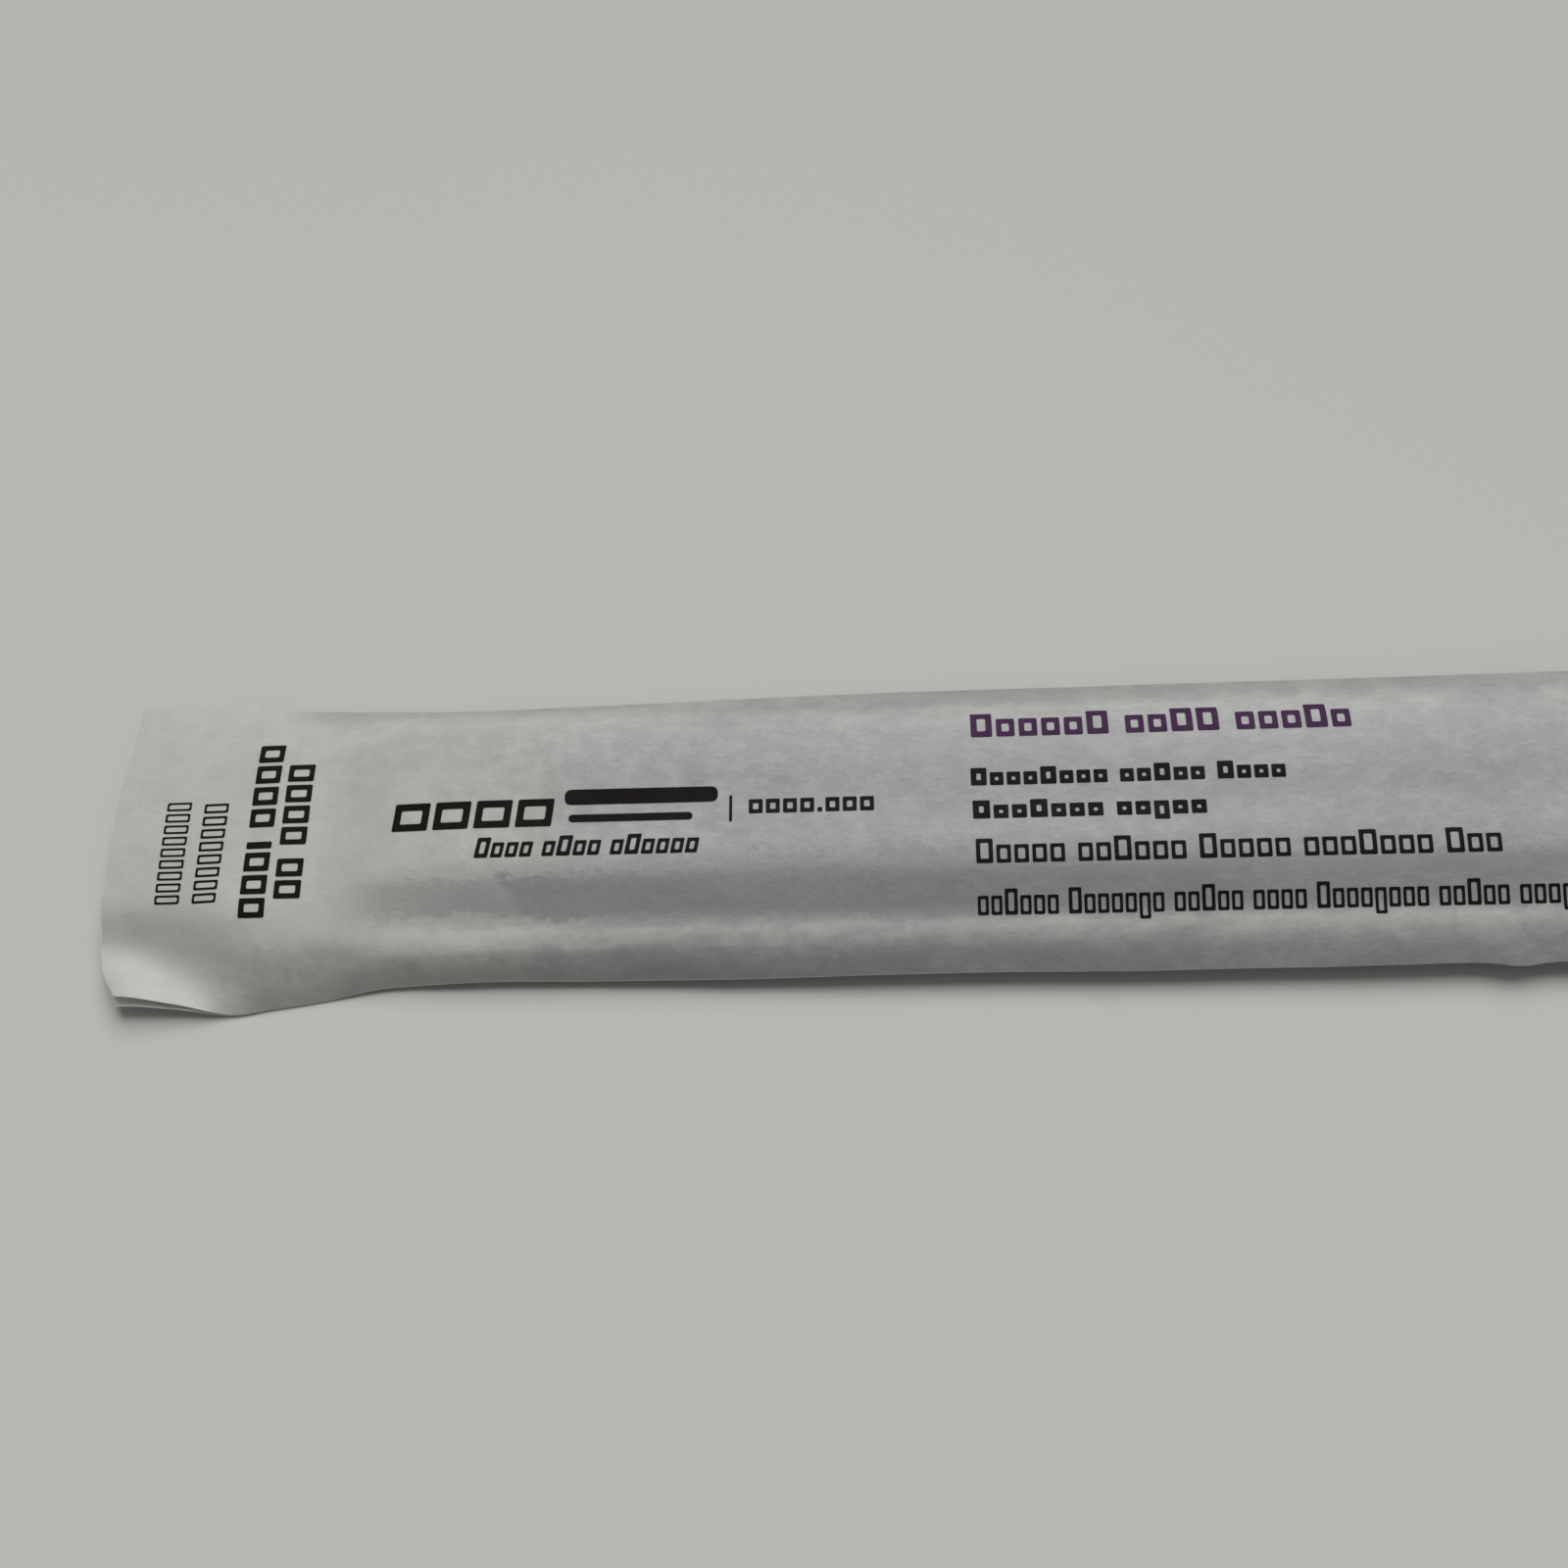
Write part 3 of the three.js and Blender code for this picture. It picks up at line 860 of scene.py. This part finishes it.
def new_material(name, roughness, specular=0.5):
    """A material with its tree, its Principled shader and its Object coordinates."""
    material = bpy.data.materials.new(name)
    material.use_nodes = True
    tree = material.node_tree
    shader = tree.nodes["Principled BSDF"]
    shader.inputs["Roughness"].default_value = roughness
    shader.inputs["Specular IOR Level"].default_value = specular
    place = add_node(tree, "ShaderNodeTexCoord")
    return material, tree, shader, place.outputs["Object"]


def let_light_through(shader, weight, depth):
    """Lets light spread inside a thin web, the same for all three colours."""
    shader.inputs["Subsurface Weight"].default_value = weight
    shader.inputs["Subsurface Radius"].default_value = (1, 1, 1)
    shader.inputs["Subsurface Scale"].default_value = depth


def scaled(colour_values, factor):
    """A colour made darker or lighter by a factor."""
    return [factor * channel for channel in colour_values]


# Values that the paper's mesh carries at each point, each worked out by the webs' own
# method of that name.
PAPER_MASKS = ("contact", "pressure", "painted_light", "sealed")


def paper_material(look):
    """Smooth medical paper: a cloudy sheet with painted light and shade in its tones, that greys
    in patches along the handle, partly where it lies on plastic and partly as painted shade.
    """
    material, tree, shader, place = new_material("medical_paper", roughness=0.48)
    let_light_through(shader, *PAPER_LIGHT_THROUGH)
    clouds, fibre = place_clouds(tree, place, *PAPER_CLOUDS)
    patches, grain = place_clouds(tree, place, *PAPER_PATCHES)
    contact, pressure, painted_light, sealed = [
        add_node(tree, "ShaderNodeAttribute", attribute_name=name).outputs["Fac"]
        for name in PAPER_MASKS]
    uneven = minus(tree, plus(tree, clouds, patches), 2 * NOISE_MIDDLE)
    furry = times(tree, minus(tree, fibre, NOISE_MIDDLE), RAGGED_BY_FIBRE)
    ragged = plus(tree, times(tree, uneven, RAGGED_BY_CLOUDS), furry)
    # Painted light: a paler tone in the tab's leaves, and painted highlights along both beads and
    # on the curled near slope.
    painted_lightness = plus(tree, painted_light, times(tree, uneven, PAINTED_LIGHT_UNEVEN))
    free = mix_colour(tree, painted_lightness, look.paper_colour, look.painted_light_colour)
    # Darker over the far side seal: partly the seal's own tone, partly painted shade.
    bonded = mix_colour(tree, times(tree, sealed, SEAL_SHADE_STRENGTH), free, look.seal_and_shade_colour)
    touching = times(tree, ranged(tree, contact, *TOUCH_START),
                     ranged(tree, plus(tree, contact, ragged), *TOUCH_RANGE))
    harder = ranged(tree, uneven, *UNEVEN_RANGE, *HARDER_TONES)
    # The patch along the handle: partly grey paper on plastic, partly painted shade.
    pressed_and_shaded = times(tree, touching, times(tree, pressure, harder))
    base = mix_colour(tree, pressed_and_shaded, bonded, look.shade_colour)
    mottle = times(tree, ranged(tree, clouds, *NOISE_RANGE, *CLOUD_TONES),
                   ranged(tree, patches, *NOISE_RANGE, *PATCH_TONES))
    speckle = times(tree, ranged(tree, fibre, *NOISE_RANGE, *FIBRE_TONES),
                    ranged(tree, grain, *NOISE_RANGE, *GRAIN_TONES))
    tone = mix_value(tree, times(tree, painted_light, EVEN_WHERE_PAINTED_LIGHT), times(tree, mottle, speckle), 1.0)
    grey = add_node(tree, "ShaderNodeCombineColor")
    for socket in grey.inputs:
        tree.links.new(tone, socket)
    toned = mix_colour(tree, 1.0, base, grey.outputs[0], "MULTIPLY")
    tree.links.new(toned, shader.inputs["Base Color"])
    roughness = ranged(tree, clouds, *WIDE_NOISE_RANGE, *PAPER_ROUGHNESS)
    tree.links.new(roughness, shader.inputs["Roughness"])
    height = plus(tree, patches, times(tree, fibre, PAPER_FIBRE_BUMP))
    tree.links.new(bump_node(tree, height, *PAPER_BUMP), shader.inputs["Normal"])
    return material


def film_material(look):
    """Milky film with a soft gloss."""
    material, tree, shader, place = new_material("milky_film", roughness=0.3)
    let_light_through(shader, *FILM_LIGHT_THROUGH)
    clouds, _ = place_clouds(tree, place, *FILM_CLOUDS)
    milkiness = ranged(tree, clouds, *NOISE_RANGE)
    darker = scaled(look.film_colour, FILM_DARKER)
    base = mix_colour(tree, milkiness, darker, look.film_colour)
    tree.links.new(base, shader.inputs["Base Color"])
    roughness = ranged(tree, clouds, *WIDE_NOISE_RANGE, *FILM_ROUGHNESS)
    tree.links.new(roughness, shader.inputs["Roughness"])
    tree.links.new(bump_node(tree, clouds, *FILM_BUMP), shader.inputs["Normal"])
    return material


def ink_material(name, tint):
    """Thin printed ink, a little uneven, that lets the paper's tone through."""
    material, tree, shader, place = new_material(name, roughness=0.6, specular=0.08)
    clouds, fibre = place_clouds(tree, place, *INK_CLOUDS)
    worn = ranged(tree, fibre, *INK_WORN_RANGE, *INK_WORN_TONES)
    lighter = [INK_FADE * channel + INK_LIFT for channel in tint]
    base = mix_colour(tree, worn, tint, lighter)
    tree.links.new(base, shader.inputs["Base Color"])
    roughness = ranged(tree, clouds, *WIDE_NOISE_RANGE, *INK_ROUGHNESS)
    tree.links.new(roughness, shader.inputs["Roughness"])
    return material


def floor_material(look):
    """Pale table top, with painted light that grows towards the near side and the peel end."""
    material, tree, shader, place = new_material("pale_table", roughness=0.7, specular=0.15)
    apart = add_node(tree, "ShaderNodeSeparateXYZ")
    tree.links.new(place, apart.inputs[0])
    slant = times(tree, apart.outputs["X"], FLOOR_SLANT)
    away = plus(tree, apart.outputs["Y"], slant)
    texture = add_node(tree, "ShaderNodeTexNoise", FLOOR_CLOUDS)
    tree.links.new(place, texture.inputs["Vector"])
    cloud = times(tree, texture.outputs["Fac"], FLOOR_CLOUD_REACH)
    painted_light_drift = ranged(tree, plus(tree, away, cloud), *FLOOR_DRIFT)
    darker = scaled(look.floor_colour, FLOOR_DARKER)
    lighter = scaled(look.floor_colour, FLOOR_LIGHTER)
    base = mix_colour(tree, painted_light_drift, darker, lighter)
    tree.links.new(base, shader.inputs["Base Color"])
    return material


# ---------------------------- pieces and stage

# Mesh of each web. Its rows are closer at the peel end and over the blade head than over the
# plain handle. Its columns are steps between each line and the next.
PAPER_ROWS = (0.5, 1.0, 0.75)
PAPER_COLUMNS = (9, 9, 16, 11, 12, 10, 13)
FILM_ROWS = (0.7, 2.0, 1.0)
FILM_COLUMNS = (6, 6, 9, 6, 6, 8, 8)
PAPER_FINE_PAST = 8
FILM_FINE_PAST = 4
FINE_BEFORE_HEAD = 6


def web_rows(webs, fine_past, spacings):
    """Rows of a web, fine up to a little past the handle's end and at the blade head."""
    stops = [0, webs.handle_end + fine_past, webs.head_start - FINE_BEFORE_HEAD, webs.length]
    return steps(stops, spacings)


def build_paper_web(context):
    """The paper web, from its cut edge to the far end."""
    webs = Webs(context.scene.pouch_sizes)
    rows = web_rows(webs, PAPER_FINE_PAST, PAPER_ROWS)
    columns = steps_across(PAPER_COLUMNS)
    bm = sheet_grid(rows, columns, lambda x, c: webs.place(webs.paper_top(x, c)))
    places = (np.array([v.co for v in bm.verts]) - np.array(webs.origin)) / MM
    for name in PAPER_MASKS:
        layer = bm.verts.layers.float.new(name)
        values = getattr(webs, name)(places[:, 0], places[:, 1])
        for vertex, value in zip(bm.verts, values):
            vertex[layer] = value
    bmesh.ops.solidify(bm, geom=bm.faces[:], thickness=webs.paper * MM)
    paper = finish_mesh(bm, "paper_web", paper_material(context.scene.pouch_look))


def build_film_web(context):
    """The film web, which lies on the table."""
    webs = Webs(context.scene.pouch_sizes)
    rows = web_rows(webs, FILM_FINE_PAST, FILM_ROWS)
    columns = steps_across(FILM_COLUMNS)
    bm = sheet_grid(rows, columns, lambda x, c: webs.place(webs.film_under(x, c)))
    bmesh.ops.reverse_faces(bm, faces=bm.faces[:])
    bmesh.ops.solidify(bm, geom=bm.faces[:], thickness=webs.film * MM)
    finish_mesh(bm, "film_web", film_material(context.scene.pouch_look))


# Print blocks. Each mark of a pattern is one block: its width beside the others' widths, its
# foot and its head as shares of the capital height, and whether it is open in the middle.
BLOCKS = {
    "M": (1.1, 0, 1, True),
    "B": (0.86, 0, 1, True),
    "x": (0.74, 0, 0.74, True),
    "l": (0.32, 0, 1, False),
    "p": (0.74, -0.26, 0.74, True),
    ".": (0.26, 0, 0.24, False),
    "o": (0.5, 0, 1, True),
}
BLOCK_GAP = 0.17
WORD_GAP = 0.5

# Corners are rounded by a share of the capital height, and by less than half a block's side.
# A block fewer strokes wide than a frame needs is filled.
ROUNDING = 0.06
MOST_ROUNDING = 0.49
CORNER_STEPS = 3
FRAME_STROKES = 2.6

# Print is cut into small facets, dropped from well above and laid just over the paper.
FACET = 0.5
DROP_HEIGHT = 50
INK_HEIGHT = 0.045


def rounded(low, high, radius):
    """Corners of a rectangle with rounded corners, in order round it."""
    radius = min(radius, MOST_ROUNDING * (high.x - low.x), MOST_ROUNDING * (high.y - low.y))
    corners = [(high.x - radius, high.y - radius), (low.x + radius, high.y - radius),
               (low.x + radius, low.y + radius), (high.x - radius, low.y + radius)]
    points = []
    for quarter, (x, y) in enumerate(corners):
        for step in range(CORNER_STEPS + 1):
            angle = math.pi / 2 * (quarter + step / CORNER_STEPS)
            points.append((x + radius * math.cos(angle), y + radius * math.sin(angle), 0))
    return points


def add_block(bm, low, high, radius, stroke=None):
    """A flat block with rounded corners. With a stroke, it is a frame that wide."""
    low, high = Vector(low), Vector(high)
    outer = [bm.verts.new(p) for p in rounded(low, high, radius)]
    if stroke is None or min(high - low) < FRAME_STROKES * stroke:
        bm.faces.new(outer)
        return
    inset = Vector((stroke, stroke))
    inner = [bm.verts.new(p) for p in rounded(low + inset, high - inset, radius)]
    for i in range(len(outer)):
        bm.faces.new((outer[i - 1], outer[i], inner[i], inner[i - 1]))


def add_row(bm, pattern, start, run, cap, weight, across, slant):
    """A row of print blocks along the pouch, or across it on the tab."""
    widths = [BLOCKS[c][0] + BLOCK_GAP if c != " " else WORD_GAP for c in pattern]
    scale = run / (sum(widths) - BLOCK_GAP)
    before = len(bm.verts)
    place = 0.0
    for mark, width in zip(pattern, widths):
        if mark != " ":
            share, foot, head, hollow = BLOCKS[mark]
            stroke = weight * min(share * scale, cap) if hollow else None
            low, high = (place * scale, foot * cap), ((place + share) * scale, head * cap)
            add_block(bm, low, high, ROUNDING * cap, stroke)
        place += width
    for vertex in bm.verts[before:]:
        run_along, up = vertex.co.x + slant * vertex.co.y, vertex.co.y
        if across:
            vertex.co = (start[0] - up, start[1] + run_along, 0)
        else:
            vertex.co = (start[0] + run_along, start[1] + up, 0)


def drape(bm, webs, tree):
    """Cuts flat print into small facets and drops it on the paper."""
    for axis in (0, 1):
        normal = Vector((axis == 0, axis == 1, 0))
        places = [v.co[axis] for v in bm.verts]
        for cut in np.arange(min(places) + FACET, max(places), FACET):
            geometry = bm.verts[:] + bm.edges[:] + bm.faces[:]
            bmesh.ops.bisect_plane(bm, geom=geometry, plane_co=normal * cut, plane_no=normal)
    for vertex in bm.verts:
        spot = Vector(webs.place(np.array(vertex.co)))
        spot.z = DROP_HEIGHT * MM
        hit = tree.ray_cast(spot, Vector((0, 0, -1)))[0]
        vertex.co = hit + Vector((0, 0, INK_HEIGHT * MM))
    bm.normal_update()


# Rows of print, by piece, with the ink of each piece. A row has its pattern, the place where
# it starts, its run, its capital height, its weight, whether it runs across, and its slant.
PRINT_ROWS = {
    "print_batch_marks": (
        "ink_colour",
        [("ooooooooo", (12.5, -9.4), 16.2, 3.9, 0.24, True, 0),
         ("oooooooo", (18.5, -9.5), 15.9, 3.9, 0.24, True, 0)],
    ),
    "print_peel_words": (
        "ink_colour",
        [("BBBl BBBB", (26.2, -12), 28, 4.0, 0.29, True, 0),
         ("BB BBBB", (31.5, -9.2), 21.6, 4.1, 0.29, True, 0)],
    ),
    "print_maker_line": (
        "ink_colour",
        [("MMMM", (45, 0.4), 24.4, 4.3, 0.26, False, 0.1),
         ("xxxx.xxx", (98.8, 1.6), 18.4, 3, 0.3, False, 0),
         ("Bxxx xBxx xBxxxx", (58, -4.2), 33.2, 3.1, 0.31, False, 0.18)],
    ),
    "print_title": (
        "title_colour",
        [("BxxxxB xxBB xxxBx", (131.7, 12.6), 55, 4.0, 0.3, False, 0)],
    ),
    "print_lines": (
        "ink_colour",
        [("BxxxBxxx xxBxx Bxxx", (131.4, 5), 45.1, 2.7, 0.36, False, 0),
         ("BxxBxxx xxpxx", (131.5, -0.1), 33.4, 2.8, 0.36, False, 0),
         ("Bxxxx xxBxxx Bxxxx xxxBxxx Bxx", (131.7, -6.8), 73.4, 3.6, 0.26, False, 0),
         ("xxBxxx Bxxxxpx xxBxx xxxx Bxxxpxxx xxBxx xxxpxx", (131.7, -14), 86.6, 3.6, 0.28,
          False, 0)],
    ),
}

# Plain bars beside the first row: two opposite corners, and how round each bar is.
PLAIN_BARS = (
    ((71.3, 3.6), (94.2, 6), 0.9),
    ((72, 0.9), (90.5, 2.1), 0.6),
    ((95.9, 0.4), (96.35, 4.5), 0.2),
)


def build_print(context):
    """The print, as rows of plain blocks in two inks."""
    scene = context.scene
    webs = Webs(scene.pouch_sizes)
    paper = bpy.data.objects["paper_web"].data
    tree = BVHTree.FromPolygons(
        [v.co for v in paper.vertices], [p.vertices for p in paper.polygons])
    inks = {
        "ink_colour": ink_material("dark_ink", scene.pouch_look.ink_colour),
        "title_colour": ink_material("violet_ink", scene.pouch_look.title_colour),
    }
    for name, (ink, rows) in PRINT_ROWS.items():
        bm = bmesh.new()
        for row in rows:
            add_row(bm, *row)
        drape(bm, webs, tree)
        finish_mesh(bm, name, inks[ink])
    bm = bmesh.new()
    for low, high, radius in PLAIN_BARS:
        add_block(bm, low, high, radius)
    drape(bm, webs, tree)
    finish_mesh(bm, "print_plain_bars", inks["ink_colour"])


# The stage: places in metres, the lens and its sensor in millimetres, the turn in degrees.
TABLE_HALF = 2
TABLE_BELOW = 0.0001
LAMP_WIDTH = 5
LAMP_PLACE = (0.8, 3.6, 4.9)
SURROUNDINGS = (0.98, 1, 1, 1)
LENS = 36.05
SENSOR = 36
CAMERA_PLACE = (-0.04396, -0.07128, 0.22586)
CAMERA_TURN = (19.594, 4.503, -0.071)


def build_stage(context):
    """A pale floor with painted light, one soft lamp, plain surroundings and the camera."""
    scene, look = context.scene, context.scene.pouch_look
    bm = bmesh.new()
    bmesh.ops.create_grid(bm, x_segments=1, y_segments=1, size=TABLE_HALF)
    mesh = bpy.data.meshes.new("table_top")
    bm.to_mesh(mesh)
    bm.free()
    mesh.materials.append(floor_material(look))
    table = bpy.data.objects.new("table_top", mesh)
    table.location.z = CAD_LOW.z - TABLE_BELOW
    scene.collection.objects.link(table)

    lamp = bpy.data.lights.new("soft_lamp", "AREA")
    lamp.energy, lamp.shape, lamp.size = look.lamp_power, "DISK", LAMP_WIDTH
    lamp_object = bpy.data.objects.new("soft_lamp", lamp)
    lamp_object.location = LAMP_PLACE
    lamp_object.rotation_euler = lamp_object.location.to_track_quat("Z", "Y").to_euler()
    scene.collection.objects.link(lamp_object)

    world = bpy.data.worlds.new("plain_surroundings")
    world.use_nodes = True
    background = world.node_tree.nodes["Background"]
    background.inputs["Color"].default_value = SURROUNDINGS
    background.inputs["Strength"].default_value = look.fill
    scene.world = world

    camera = bpy.data.cameras.new("camera")
    camera.lens, camera.sensor_width = LENS, SENSOR
    eye = bpy.data.objects.new("camera", camera)
    eye.location = CAMERA_PLACE
    eye.rotation_euler = [math.radians(angle) for angle in CAMERA_TURN]
    scene.collection.objects.link(eye)
    scene.camera = eye
    scene.view_settings.view_transform = "Standard"


# ---------------------------- operators and panel


class POUCH_OT_paper_web(bpy.types.Operator):
    """Build the paper web"""

    bl_idname = "pouch.paper_web"
    bl_label = "Paper Web"

    def execute(self, context):
        build_paper_web(context)
        return {"FINISHED"}


class POUCH_OT_film_web(bpy.types.Operator):
    """Build the film web"""

    bl_idname = "pouch.film_web"
    bl_label = "Film Web"

    def execute(self, context):
        build_film_web(context)
        return {"FINISHED"}


class POUCH_OT_print(bpy.types.Operator):
    """Build the print"""

    bl_idname = "pouch.print"
    bl_label = "Print"

    def execute(self, context):
        build_print(context)
        return {"FINISHED"}


class POUCH_OT_stage(bpy.types.Operator):
    """Build the floor, the lamp and the camera"""

    bl_idname = "pouch.stage"
    bl_label = "Stage"

    def execute(self, context):
        build_stage(context)
        return {"FINISHED"}


class POUCH_PT_panel(bpy.types.Panel):
    """Sizes, colours and the operators, in the sidebar"""

    bl_idname = "POUCH_PT_panel"
    bl_label = "Peel Pouch"
    bl_space_type = "VIEW_3D"
    bl_region_type = "UI"
    bl_category = "Peel Pouch"

    def draw(self, context):
        for operator in OPERATORS:
            self.layout.operator(operator.bl_idname)
        for group in (context.scene.pouch_sizes, context.scene.pouch_look):
            box = self.layout.box()
            for name in group.bl_rna.properties.keys():
                if name not in ("rna_type", "name"):
                    box.prop(group, name)


OPERATORS = (POUCH_OT_paper_web, POUCH_OT_film_web, POUCH_OT_print, POUCH_OT_stage)
CLASSES = (PouchSizes, PouchLook, *OPERATORS, POUCH_PT_panel)


def register():
    for item in CLASSES:
        bpy.utils.register_class(item)
    bpy.types.Scene.pouch_sizes = PointerProperty(type=PouchSizes)
    bpy.types.Scene.pouch_look = PointerProperty(type=PouchLook)


def unregister():
    del bpy.types.Scene.pouch_look
    del bpy.types.Scene.pouch_sizes
    for item in reversed(CLASSES):
        bpy.utils.unregister_class(item)


def main():
    register()
    bpy.ops.pouch.stage()
    bpy.ops.pouch.paper_web()
    bpy.ops.pouch.film_web()
    bpy.ops.pouch.print()


if __name__ == "__main__":
    main()
